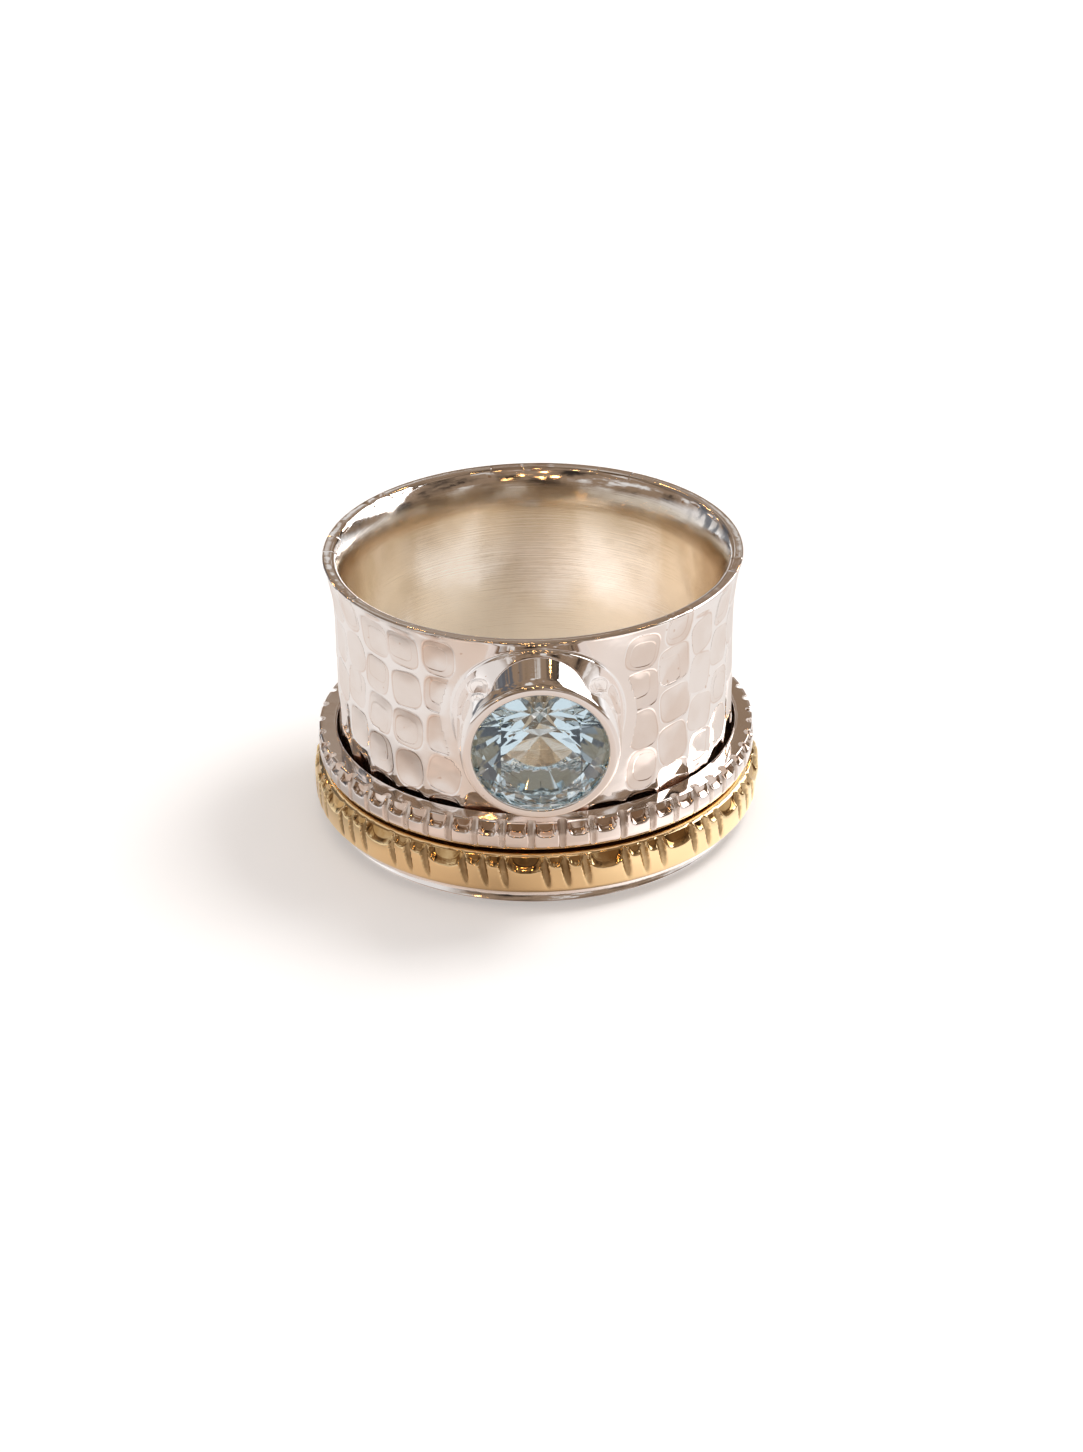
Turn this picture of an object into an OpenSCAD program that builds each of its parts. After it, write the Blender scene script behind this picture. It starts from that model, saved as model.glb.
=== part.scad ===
// Wide hammered finger ring with a bezel-set round stone and two loose rings that spin on it.
// The finger axis is Z, the stone faces -Y, and the origin is the middle of the finger hole.

/* [Band] */
// Radius of the finger hole
bore_r = 8.65; // [8.4:0.05:8.9]
// Thickness of the wall between the marks
wall = 0.92; // [0.8:0.02:1.1]
// Width of the band along the finger
band_w = 13.6; // [13.2:0.1:14.4]
// How far each rim stands out beyond the wall
flare = 0.45; // [0.3:0.05:0.6]
// Length over which the wall flares out to each rim
flare_len = 3.4; // [3:0.1:4]
// Radius that rounds the edges of both rims
edge_r = 0.14; // [0.08:0.02:0.2]
// How far the hole opens out at both ends
mouth_flare = 0.85; // [0.6:0.05:0.9]
// Length of the hole that opens out at each end
mouth_len = 2.6; // [2:0.1:3]
// Radius that rounds each rim into the hole
mouth_edge = 0.5; // [0.2:0.05:0.55]

/* [Hammer marks] */
// Number of columns of marks around the band
mark_columns = 32; // [28:1:34]
// Height of the highest row above the lower rim
mark_top = 12.25; // [11.8:0.05:12.4]
// Distance between rows
mark_pitch = 2.05; // [1.95:0.05:2.3]
// Number of rows
mark_rows = 5; // [3:1:5]
// Radius of the hammer's face
mark_r = 3.0; // [2.6:0.1:3.2]
// Depth of a mark
mark_depth = 0.11; // [0.08:0.01:0.14]

/* [Bezel] */
// Outer radius of the bezel's front edge
bezel_r = 3.6; // [3.5:0.05:3.7]
// Radius of its opening
bezel_open_r = 3.09; // [3.0:0.01:3.15]
// How much wider the bezel is at the finger hole
bezel_taper = 0.32; // [0.2:0.02:0.4]
// Distance of the front edge from the finger axis
bezel_reach = 12.15; // [12:0.05:12.4]
// Height of the bezel's front centre above the lower rim
bezel_z = 9.1; // [9:0.05:9.2]
// Downward tilt of the stone
bezel_tilt = 5; // [3:0.5:6]
// Radius of the hole behind the stone
culet_hole_r = 1.3; // [1:0.1:1.6]

/* [Stone] */
// Diameter of the round stone
stone_d = 6.44; // [6.4:0.02:6.48]
// Slope of the main facets on the crown
crown_angle = 36; // [32:0.5:37]
// Slope of the main facets on the pavilion
pavilion_angle = 40.5; // [39:0.25:41]
// Width of the table as a share of the stone
table_share = 0.6; // [0.55:0.01:0.62]
// Thickness of the girdle
girdle_h = 0.16; // [0.12:0.02:0.2]
// Depth of the girdle's upper edge behind the bezel's front edge
girdle_drop = 0.32; // [0.3:0.02:0.4]
// Gap between stone and metal
stone_gap = 0.06; // [0.04:0.01:0.08]
// Turn of the stone about its own axis
stone_turn = 22.5; // [0:0.5:45]

/* [Notched ring] */
// Inner radius
notched_bore_r = 9.78; // [9.74:0.01:9.94]
// Outer radius
notched_r = 10.62; // [10.5:0.02:10.7]
// Height of its lower face above the lower rim
notched_z = 3.0; // [2.98:0.01:3.05]
// Width along the finger
notched_w = 1.62; // [1.4:0.01:1.8]
// Radius that rounds its upper outer edge
notched_shoulder = 0.16; // [0.1:0.02:0.3]
// Radius that rounds its lower outer edge
notched_edge = 0.62; // [0.4:0.02:0.7]
// Number of notches, with a scoop between each two
notch_count = 51; // [48:1:52]
// Radius of a notch
notch_r = 0.18; // [0.14:0.01:0.2]
// Width of a scoop along the edge of the ring
scoop_w = 0.98; // [0.8:0.02:1]
// Height of a scoop
scoop_h = 0.68; // [0.5:0.02:0.7]
// Depth of a scoop
scoop_depth = 0.3; // [0.2:0.02:0.34]

/* [Gold ring] */
// Inner radius
gold_bore_r = 9.9; // [9.86:0.01:9.94]
// Outer radius at the middle of its dome
gold_r = 10.9; // [10.8:0.01:10.95]
// Height of its lower face above the lower rim
gold_z = 0.86; // [0.84:0.01:0.9]
// Width along the finger
gold_w = 2.04; // [1.8:0.01:2.06]
// How far the outside curves in at its edges
gold_dome = 0.08; // [0.04:0.02:0.12]
// Radius that rounds its upper outer edge
gold_shoulder = 0.5; // [0.3:0.05:0.7]
// Radius that rounds its lower outer edge
gold_edge = 0.5; // [0.3:0.02:0.6]
// Number of groups of cuts around
group_count = 18; // [14:1:18]
// Angle of the first group from the stone
group_turn = 6; // [0:0.5:19]
// Number of cuts in a group
group_cuts = 3; // [2:1:3]
// Angle between neighbouring cuts
cut_step = 5.1; // [4.8:0.1:5.4]
// Radius of a cut
cut_r = 0.2; // [0.15:0.01:0.22]
// Slant of a cut across the ring
cut_slant = 10; // [0:1:14]

/* [Hidden] */
$fn = 96;
base_z = -band_w / 2;
wall_r = bore_r + wall;
rim_r = wall_r + flare;
over = 1;

// Concave flare towards each rim
flare_start = band_w / 2 - flare_len;
flare_arc = (pow(flare_len, 2) + pow(flare, 2)) / (2 * flare);

// Convex rounding where the hole opens out
mouth_start = band_w / 2 - mouth_len;
mouth_arc = (pow(mouth_len, 2) + pow(mouth_flare, 2)) / (2 * mouth_flare);
mouth_edge_lean = asin((mouth_len - mouth_edge) / (mouth_arc - mouth_edge));
mouth_edge_x = bore_r + mouth_arc - (mouth_arc - mouth_edge) * cos(mouth_edge_lean);

// Bezel and the seat for the stone
bezel_front_z = base_z + bezel_z;
bezel_edge_r = 0.25;
bezel_length = bezel_reach - bore_r;
bezel_foot = bezel_reach - wall_r + 0.7;
stone_r = stone_d / 2;
seat_r = stone_r + stone_gap;
lip_angle = 45;
seat_angle = pavilion_angle + 2;
pavilion_h = stone_r * tan(pavilion_angle);
crown_h = stone_r * (1 - table_share) * tan(crown_angle);
seat_top = -girdle_drop - girdle_h;

// How far each column's marks are lifted, and how the columns are spaced
mark_lift = [0.3, -0.2, 0.0, 0.7, -0.5, 0.1, 0.5, -0.05, -0.15, 0.0];
mark_turn = 1.1;
mark_sway = 1.3;
mark_clear = 0.5;

// Facet ring radii as shares of the stone's radius
star_share = 0.763;
half_share = 0.24;
main_facets = 8;
facet_step = 360 / main_facets;

// Loose rings, whose scoops and cuts are spaced by eye
scoop_drift = [0, 0.4, 0.4, 0.4, -0.6, -1.7, -1.7, -2.1, -1.5, -1.4, -0.1, -0.1, 2.1, 2.5, 2.7, 2.4, 0.9];
scoop_turn = -61;
group_sway = 1.4;
inner_edge = 0.09;
notch_bite = 0.05;
cut_bite = 0.05;
cut_lean = 8;
scoop_r = (pow(scoop_h / 2, 2) + pow(scoop_depth, 2)) / (2 * scoop_depth);
scoop_down = 0.38;
wide_scoop_r = 0.95;
wide_scoop_out = 0.62;
small_scoop_r = 0.36;
small_scoop_out = 0.1;
gold_scoop_down = 0.12;

// Radius of the outside at a height, and how far it leans out there
function outer_r(z) = abs(z) < flare_start
    ? wall_r
    : wall_r + flare_arc - sqrt(pow(flare_arc, 2) - pow(abs(z) - flare_start, 2));
function outer_lean(z) = abs(z) < flare_start ? 0 : sign(z) * asin((abs(z) - flare_start) / flare_arc);

function mark_angle(i) =
    let(even = 360 / mark_columns * (i + 0.5) + mark_turn)
    even + mark_sway * sin(even);
function mark_z(i, row) = base_z + mark_top + mark_lift[i % len(mark_lift)] - row * mark_pitch;
function scoop_angle(i) = 360 / notch_count * i + scoop_turn + scoop_drift[i % len(scoop_drift)];
function group_angle(i) =
    let(even = 360 / group_count * i + group_turn)
    even + group_sway * sin(even);

// Quarter of a square left outside a circle, for rounding a corner at a point.
// sx and sy give the side of the point that the corner lies on.
module corner_waste(x, y, r, sx, sy) {
    translate([x, y])
        difference() {
            translate([sx > 0 ? 0 : -r - over, sy > 0 ? 0 : -r - over])
                square([r + over, r + over]);
            circle(r);
        }
}

// What lies outside the rounding between a rim and the hole, at the upper end for side = 1
module mouth_waste(side) {
    reach = mouth_edge + over;
    translate([mouth_edge_x, side * (band_w / 2 - mouth_edge)])
        difference() {
            polygon([
                [0, 0],
                [0, side * reach],
                [-reach, side * reach],
                [-2 * mouth_edge * cos(mouth_edge_lean), side * 2 * mouth_edge * sin(mouth_edge_lean)]
            ]);
            circle(mouth_edge);
        }
}

// Half section of the band, with the finger axis at x = 0
module band_section() {
    difference() {
        translate([bore_r, base_z])
            square([rim_r - bore_r, band_w]);
        // straight waist between the two flares
        translate([wall_r, -flare_start])
            square([flare + over, 2 * flare_start]);
        for (side = [-1, 1]) {
            translate([wall_r + flare_arc, side * flare_start])
                circle(flare_arc, $fn = 360);
            corner_waste(rim_r - edge_r, side * (band_w / 2 - edge_r), edge_r, 1, side);
            // the hole opens out at each end
            difference() {
                translate([bore_r - over, side > 0 ? mouth_start : -mouth_start - mouth_len - over])
                    square([mouth_flare + over, mouth_len + over]);
                translate([bore_r + mouth_arc, side * mouth_start])
                    circle(mouth_arc, $fn = 360);
            }
            mouth_waste(side);
        }
    }
}

// Puts a shape that faces +Z at the bezel's front, facing out of the band
module at_bezel() {
    translate([0, -bezel_reach, bezel_front_z])
        rotate([90 + bezel_tilt, 0, 0])
            children();
}

module hammer_marks() {
    for (i = [0 : mark_columns - 1])
        for (row = [0 : mark_rows - 1]) {
            angle = mark_angle(i);
            z = mark_z(i, row);
            lean = outer_lean(z);
            reach = mark_r - mark_depth;
            aside = norm([outer_r(z) * sin(angle), z - bezel_front_z]);
            if (cos(angle) < 0 || aside > bezel_r + bezel_taper + mark_clear)
                rotate([0, 0, angle])
                    translate([0, -outer_r(z) - reach * cos(lean), z - reach * sin(lean)])
                        sphere(mark_r);
        }
}

// Solid cone of the bezel, with a rounded front edge
module bezel_cone() {
    rotate_extrude()
        difference() {
            polygon([
                [0, -bezel_foot],
                [bezel_r + bezel_taper, -bezel_foot],
                [bezel_r, -bezel_edge_r],
                [bezel_r, 0],
                [0, 0]
            ]);
            corner_waste(bezel_r - bezel_edge_r, -bezel_edge_r, bezel_edge_r, 1, 1);
        }
}

// Space for the stone: opening, undercut lip, girdle, pavilion and the hole behind it
module stone_seat() {
    lip_z = stone_gap - girdle_drop;
    rotate_extrude()
        polygon([
            [0, over],
            [bezel_open_r, over],
            [bezel_open_r, lip_z + (seat_r - bezel_open_r) * tan(lip_angle)],
            [seat_r, lip_z],
            [seat_r, seat_top],
            [0, seat_top - seat_r * tan(seat_angle)]
        ]);
    translate([0, 0, -bezel_length - over])
        cylinder(h = bezel_length, r = culet_hole_r);
}

module band() {
    color("silver")
        difference() {
            union() {
                difference() {
                    rotate_extrude() band_section();
                    hammer_marks();
                }
                at_bezel() bezel_cone();
            }
            at_bezel() stone_seat();
        }
}

// Points of one ring of facet corners
function facet_ring(count, r, z, start = 0) =
    [for (i = [0 : count - 1]) [r * cos(start + i * 360 / count), r * sin(start + i * 360 / count), z]];

// Round brilliant, with its girdle's upper edge at z = 0
module brilliant() {
    half = facet_step / 2;
    star_z = (1 - star_share * cos(half)) * stone_r * tan(crown_angle);
    half_z = -girdle_h - (1 - half_share * cos(half)) * pavilion_h;
    table = facet_ring(main_facets, stone_r * table_share, crown_h);
    stars = facet_ring(main_facets, stone_r * star_share, star_z, half);
    girdle = facet_ring(2 * main_facets, stone_r, 0);
    lower_girdle = facet_ring(2 * main_facets, stone_r, -girdle_h);
    halves = facet_ring(main_facets, stone_r * half_share, half_z, half);
    culet = [[0, 0, -girdle_h - pavilion_h]];
    n = main_facets;
    s = n;
    g = 2 * n;
    l = 4 * n;
    h = 6 * n;
    c = 7 * n;
    faces = concat(
        [[for (i = [n - 1 : -1 : 0]) i]],
        [for (i = [0 : n - 1]) [i, (i + 1) % n, s + i]],
        [for (i = [0 : n - 1]) [i, s + i, g + 2 * i]],
        [for (i = [0 : n - 1]) [i, g + 2 * i, s + (i + n - 1) % n]],
        [for (i = [0 : n - 1]) [s + i, g + 2 * i + 1, g + 2 * i]],
        [for (i = [0 : n - 1]) [s + i, g + (2 * i + 2) % (2 * n), g + 2 * i + 1]],
        [for (i = [0 : 2 * n - 1]) [g + i, g + (i + 1) % (2 * n), l + i]],
        [for (i = [0 : 2 * n - 1]) [g + (i + 1) % (2 * n), l + (i + 1) % (2 * n), l + i]],
        [for (i = [0 : n - 1]) [l + 2 * i, l + 2 * i + 1, h + i]],
        [for (i = [0 : n - 1]) [l + 2 * i + 1, l + (2 * i + 2) % (2 * n), h + i]],
        [for (i = [0 : n - 1]) [l + 2 * i, h + i, c]],
        [for (i = [0 : n - 1]) [l + 2 * i, c, h + (i + n - 1) % n]]
    );
    polyhedron(concat(table, stars, girdle, lower_girdle, halves, culet), faces);
}

module topaz() {
    color("lightblue")
        at_bezel()
            translate([0, 0, -girdle_drop])
                rotate([0, 0, stone_turn])
                    brilliant();
}

// Half section of a loose ring, from its lower face up, between its inner and outer radius
module loose_section(inner, outer, w, shoulder, low_edge) {
    difference() {
        translate([inner, 0])
            square([outer - inner, w]);
        corner_waste(outer - shoulder, w - shoulder, shoulder, 1, 1);
        corner_waste(outer - low_edge, low_edge, low_edge, 1, -1);
        corner_waste(inner + inner_edge, inner_edge, inner_edge, -1, -1);
        corner_waste(inner + inner_edge, w - inner_edge, inner_edge, -1, 1);
    }
}

module notched_ring() {
    color("gainsboro")
        translate([0, 0, base_z + notched_z])
            difference() {
                rotate_extrude()
                    loose_section(notched_bore_r, notched_r, notched_w, notched_shoulder, notched_edge);
                for (i = [0 : notch_count - 1]) {
                    rotate([0, 0, scoop_angle(i)])
                        translate([0, -notched_r - scoop_r + scoop_depth, notched_w - scoop_down])
                            rotate([0, 90, 0])
                                cylinder(h = scoop_w, r = scoop_r, center = true, $fn = 32);
                    // a notch half way to the next scoop
                    rotate([0, 0, (scoop_angle(i) + scoop_angle(i + 1)) / 2])
                        translate([0, -notched_r - notch_bite, -over])
                            cylinder(h = notched_w + 2 * over, r = notch_r, $fn = 32);
                }
            }
}

// Half section of the gold ring, whose outside is a low dome
module gold_section() {
    dome_arc = (pow(gold_w / 2, 2) + pow(gold_dome, 2)) / (2 * gold_dome);
    intersection() {
        loose_section(gold_bore_r, gold_r, gold_w, gold_shoulder, gold_edge);
        translate([gold_r - dome_arc, gold_w / 2])
            circle(dome_arc, $fn = 360);
    }
}

module gold_ring() {
    span = (group_cuts - 1) * cut_step;
    color("goldenrod")
        translate([0, 0, base_z + gold_z])
            difference() {
                rotate_extrude() gold_section();
                for (i = [0 : group_count - 1]) {
                    rotate([0, 0, group_angle(i)]) {
                        for (k = [0 : group_cuts - 1])
                            rotate([0, 0, k * cut_step - span / 2])
                                translate([0, -gold_r - cut_bite, gold_w / 2])
                                    rotate([-cut_lean, -cut_slant, 0])
                                        cylinder(h = 2 * gold_w, r = cut_r, center = true, $fn = 32);
                        for (k = [0 : group_cuts - 2])
                            rotate([0, 0, (k + 0.5) * cut_step - span / 2])
                                translate([0, -gold_r - small_scoop_out, gold_w - gold_scoop_down])
                                    sphere(small_scoop_r, $fn = 32);
                    }
                    // a wide scoop half way to the next group
                    rotate([0, 0, (group_angle(i) + group_angle(i + 1)) / 2])
                        translate([0, -gold_r - wide_scoop_out, gold_w - gold_scoop_down])
                            sphere(wide_scoop_r, $fn = 48);
                }
            }
}

band();
topaz();
notched_ring();
gold_ring();
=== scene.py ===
# Topaz ring: a wide hammered silver band with a bezel-set stone, and two loose rings that spin on it.
# Shapes are in millimetres from the middle of the finger hole, materials and lights in metres.
# +Z runs along the finger, the stone faces -Y, and angles round the finger are in degrees from -Y
# towards +X.
import math
import random

import bmesh
import bpy
import numpy as np
from mathutils import Matrix, Vector


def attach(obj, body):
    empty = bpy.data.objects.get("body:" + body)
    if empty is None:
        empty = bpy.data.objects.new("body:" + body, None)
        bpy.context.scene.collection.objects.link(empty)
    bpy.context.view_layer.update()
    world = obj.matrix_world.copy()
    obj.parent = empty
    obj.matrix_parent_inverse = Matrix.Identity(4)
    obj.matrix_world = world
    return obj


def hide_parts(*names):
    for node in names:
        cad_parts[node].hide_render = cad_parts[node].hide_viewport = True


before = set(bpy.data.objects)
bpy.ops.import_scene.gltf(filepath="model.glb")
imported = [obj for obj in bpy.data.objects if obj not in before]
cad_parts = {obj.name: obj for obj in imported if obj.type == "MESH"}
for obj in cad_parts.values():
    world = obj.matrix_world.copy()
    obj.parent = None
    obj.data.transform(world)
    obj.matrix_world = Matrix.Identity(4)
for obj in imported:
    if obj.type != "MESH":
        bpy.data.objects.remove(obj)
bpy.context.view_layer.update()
print("frame loaded:", ", ".join(sorted(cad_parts)))

mm = 0.001
farOut = 1000.0  # radius of a cut where there is none


# shared helpers

# radius of an arc that starts straight and leans away by rise over length
def arcRadius(length, rise):
    return (length ** 2 + rise ** 2) / (2 * rise)


def smoothStep(value, start, end):
    t = np.clip((value - start) / (end - start), 0, 1)
    return t * t * (3 - 2 * t)


# how far one angle lies past another, from -180 to 180
def turnPast(angle, centre):
    return np.mod(angle - centre + 180, 360) - 180


# points round the finger, from arrays of angles, radii and heights
def roundFinger(angle, radius, height):
    turn = np.radians(angle)
    return np.stack([radius * np.sin(turn), -radius * np.cos(turn), height + 0 * turn], -1)


# arc from one angle to another, both ends included
def arcPoints(centre, radius, startAngle, endAngle, count):
    turn = np.radians(np.linspace(startAngle, endAngle, count))
    return np.stack([centre[0] + radius * np.cos(turn), centre[1] + radius * np.sin(turn)], -1)


# mesh piece from points in millimetres, smooth but for edges sharper than sharpAngle
def makePiece(name, points, faces, sharpAngle=None):
    mesh = bpy.data.meshes.new(name)
    mesh.from_pydata((np.asarray(points, float) * mm).tolist(), [], faces)
    piece = bpy.data.objects.new(name, mesh)
    bpy.context.scene.collection.objects.link(piece)
    tidyMesh(mesh, sharpAngle)
    return piece


def tidyMesh(mesh, sharpAngle):
    work = bmesh.new()
    work.from_mesh(mesh)
    bmesh.ops.recalc_face_normals(work, faces=work.faces)
    for face in work.faces:
        face.smooth = sharpAngle is not None
    if sharpAngle is not None:
        limit = math.radians(sharpAngle)
        for edge in work.edges:
            edge.smooth = edge.calc_face_angle(0) < limit
    work.to_mesh(mesh)
    work.free()


# quads of a grid whose columns close on themselves, and its rows too unless told otherwise
def gridFaces(rows, columns, closeRows=True):
    return [
        [i * columns + j, i * columns + (j + 1) % columns,
         (i + 1) % rows * columns + (j + 1) % columns, (i + 1) % rows * columns + j]
        for i in range(rows if closeRows else rows - 1) for j in range(columns)
    ]


# closed solid through loops that all have the same number of points
def makeTube(name, loops, sharpAngle):
    count = len(loops[0])
    points = np.concatenate(loops)
    faces = gridFaces(len(loops), count, closeRows=False)
    faces.append(list(range(count)))
    faces.append(list(range(len(points) - count, len(points)))[::-1])
    return makePiece(name, points, faces, sharpAngle)


# a number for each point of a mesh, which the materials read
def paintPoints(piece, name, values):
    layer = piece.data.attributes.new(name, "FLOAT", "POINT")
    layer.data.foreach_set("value", np.asarray(values, np.float32).ravel())


def meshPoints(piece):
    places = np.zeros(len(piece.data.vertices) * 3, np.float32)
    piece.data.vertices.foreach_get("co", places)
    return places.reshape(-1, 3).astype(float) / mm


# the band

band = {
    "bore": 8.65,  # radius of the finger hole
    "wall": 0.92,
    "width": 13.6,
    "flare": 0.45,  # how far the rims stand out
    "flareLength": 3.4,
    "edgeRound": 0.10,
    "mouthFlare": 0.85,  # how far the hole opens out at its ends
    "mouthLength": 2.1,
    "mouthRound": 0.34,  # rounds the rim into the hole
    "columns": 560,  # of the mesh
    "fineFrom": -2.3,  # the mesh is fine above this height, where nothing covers it
    "fineRow": 0.108,
    "coarseRow": 0.3,
    "edgeRows": 6,
    "mouthRows": 10,
    "holeRows": (14, 6, 10),  # at the top, in the straight part and at the bottom
    "sharpAngle": 30,
}
wallRadius = band["bore"] + band["wall"]
halfWidth = band["width"] / 2
flareStart = halfWidth - band["flareLength"]
flareArc = arcRadius(band["flareLength"], band["flare"])
mouthStart = halfWidth - band["mouthLength"]
mouthArc = arcRadius(band["mouthLength"], band["mouthFlare"])


# outside of the band before hammering
def outerRadius(height):
    past = np.clip(np.abs(height) - flareStart, 0, None)
    return wallRadius + flareArc - np.sqrt(flareArc ** 2 - past ** 2)


# inside of the band, opening out at both ends
def innerRadius(height):
    past = np.clip(np.abs(height) - mouthStart, 0, None)
    return band["bore"] + mouthArc - np.sqrt(mouthArc ** 2 - past ** 2)


hammer = {
    "columns": 32,
    "top": 12.25,  # height of the highest row above the lower rim
    "pitch": 2.05,
    "rows": 5,
    "turn": 1.1,  # of the first column, in degrees
    "sway": 1.3,  # columns lie closer on one side than on the other
    "lift": [0.3, -0.2, 0.0, 0.7, -0.5, 0.1, 0.5, -0.05, -0.15, 0.0],  # of each column in turn
    "halfWide": 0.90,
    "halfTall": 0.98,
    "squareness": 3.5,  # 2 is an oval
    "depth": 0.11,
    "wander": (0.45, 0.08),  # at most, off its place, in degrees round the finger and in height
    "varySize": 0.08,
    "varyLean": 13,
    "varySquareness": 0.9,
    "varyDepth": 0.12,
    "ridge": 0.009,  # softness of the ridges between marks
    "clear": 0.5,  # from the bezel
    "fadeFrom": 4.12,  # distance from the bezel's axis where the hammering begins
    "fadeTo": 4.9,
    "doubled": 0.4,  # share of marks struck twice
    "secondShift": (0.28, 0.3),  # at most, aside and up
    "secondSize": (0.72, 0.68, 1.02),  # shares of the first strike's width, height and depth
    "grazes": 0.6,  # share of columns with a thin mark close under the rim
    "grazeSize": (0.62, 0.13, 0.03),  # half width, half height and depth
    "grazeUp": 1.16,  # above the highest row
    "grazeWander": (2, 0.1),
    "grazeLean": 4,  # in degrees
    "reach": (1.3, 1.4),  # half width and height in which a mark can be felt
    "outside": -0.4,  # stands for no border near
    "seed": 11,
}

bezel = {
    "radius": 3.6,
    "opening": 3.09,
    "taper": 0.32,
    "reach": 12.15,  # front edge from the finger's axis
    "height": 2.3,
    "tilt": 5.0,
    "frontRound": 0.25,
    "frontDip": 0.12,  # width over which the blank front dips inside the opening
    "dipDepth": 0.012,
    "lipRound": 0.10,
    "footFillet": 0.2,
    "footBelow": 0.7,  # the cone is as long as from its front to this far inside the wall
    "sink": 0.012,  # how far the fillet ends under the band's skin
    "middle": 9.1,  # radius in the wall where the bezel's solid ends
    "culetHole": 1.3,
    "columns": 200,  # of the mesh
    "coneRows": 12,
    "filletRows": 9,
}


def hammerMarks():
    dice = random.Random(hammer["seed"])
    shiftAside, shiftUp = hammer["secondShift"]
    secondWide, secondTall, secondDeep = hammer["secondSize"]
    keepOff = bezel["radius"] + bezel["taper"] + hammer["clear"]
    marks = []
    for i in range(hammer["columns"]):
        even = 360 / hammer["columns"] * (i + 0.5) + hammer["turn"]
        angle = even + hammer["sway"] * math.sin(math.radians(even))
        lift = hammer["lift"][i % len(hammer["lift"])]
        for row in range(hammer["rows"]):
            height = -halfWidth + hammer["top"] + lift - row * hammer["pitch"]
            across = float(outerRadius(height)) * math.sin(math.radians(angle))
            vary = [dice.uniform(-1, 1) for _ in range(6)]
            double = dice.random() < hammer["doubled"]
            shift = (dice.uniform(-shiftAside, shiftAside), dice.uniform(-shiftUp, shiftUp))
            if math.cos(math.radians(angle)) > 0 and math.hypot(across, height - bezel["height"]) < keepOff:
                continue
            mark = {
                "angle": angle + hammer["wander"][0] * vary[0],
                "height": height + hammer["wander"][1] * vary[1],
                "wide": hammer["halfWide"] * (1 + hammer["varySize"] * vary[2]),
                "tall": hammer["halfTall"] * (1 + hammer["varySize"] * vary[3]),
                "lean": hammer["varyLean"] * vary[4],
                "square": hammer["squareness"] + hammer["varySquareness"] * vary[1],
                "depth": hammer["depth"] * (1 + hammer["varyDepth"] * vary[5]),
                "second": False,
            }
            marks.append(mark)
            if double:
                marks.append({
                    **mark,
                    "angle": mark["angle"] + math.degrees(shift[0] / wallRadius),
                    "height": mark["height"] + shift[1],
                    "wide": mark["wide"] * secondWide,
                    "tall": mark["tall"] * secondTall,
                    "depth": mark["depth"] * secondDeep,
                    "second": True,
                })
            if row == 0 and dice.random() < hammer["grazes"]:
                wide, tall, depth = hammer["grazeSize"]
                marks.append({
                    **mark,
                    "angle": angle + hammer["grazeWander"][0] * vary[2],
                    "height": height + hammer["grazeUp"] + hammer["grazeWander"][1] * vary[3],
                    "wide": wide,
                    "tall": tall,
                    "depth": depth,
                    "lean": hammer["grazeLean"] * vary[0] - hammer["grazeLean"],
                })
    return marks


hammerMarkList = hammerMarks()


# for each mark, the places near it and how far out they lie, where 1 is its border
def nearMarks(angle, height):
    reachAside, reachUp = hammer["reach"]
    for mark in hammerMarkList:
        aside = turnPast(angle, mark["angle"]) * math.pi / 180 * outerRadius(height)
        above = height - mark["height"]
        near = (np.abs(aside) < reachAside) & (np.abs(above) < reachUp)
        if not near.any():
            continue
        lean = math.radians(mark["lean"])
        across = np.abs(aside[near] * math.cos(lean) + above[near] * math.sin(lean)) / mark["wide"]
        along = np.abs(above[near] * math.cos(lean) - aside[near] * math.sin(lean)) / mark["tall"]
        power = mark["square"]
        yield mark, near, (across ** power + along ** power) ** (1 / power)


# 0 at the bezel's foot and 1 away from it
def clearOfBezel(angle, height):
    aside = np.hypot(wallRadius * np.sin(np.radians(angle)), height - bezel["height"])
    clear = smoothStep(aside, hammer["fadeFrom"], hammer["fadeTo"])
    return np.where(np.cos(np.radians(angle)) > 0, clear, 1)


# how deep the hammering goes at these places, as one soft sheet that ends at the bezel's foot
def hammerDepth(angle, height):
    total = np.ones(np.shape(angle))
    for mark, near, out in nearMarks(angle, height):
        total[near] += np.exp(mark["depth"] * (1 - out ** 2) / hammer["ridge"])
    return hammer["ridge"] * np.log(total) * clearOfBezel(angle, height)


# millimetres inside the nearest mark's border, for first or second strikes
def borderDistance(angle, height, second):
    inside = np.full(np.shape(angle), hammer["outside"])
    for mark, near, out in nearMarks(angle, height):
        if mark["second"] == second:
            inside[near] = np.maximum(inside[near], (1 - out) * min(mark["wide"], mark["tall"]))
    return inside


# heights of the mesh rows up the outside of the band
def outsideRows():
    low = -halfWidth + band["edgeRound"]
    coarse = np.linspace(low, band["fineFrom"], int((band["fineFrom"] - low) / band["coarseRow"]) + 1)
    top = halfWidth - band["edgeRound"]
    fine = np.linspace(band["fineFrom"], top, int((top - band["fineFrom"]) / band["fineRow"]) + 1)
    return np.concatenate([coarse, fine[1:]])


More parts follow.
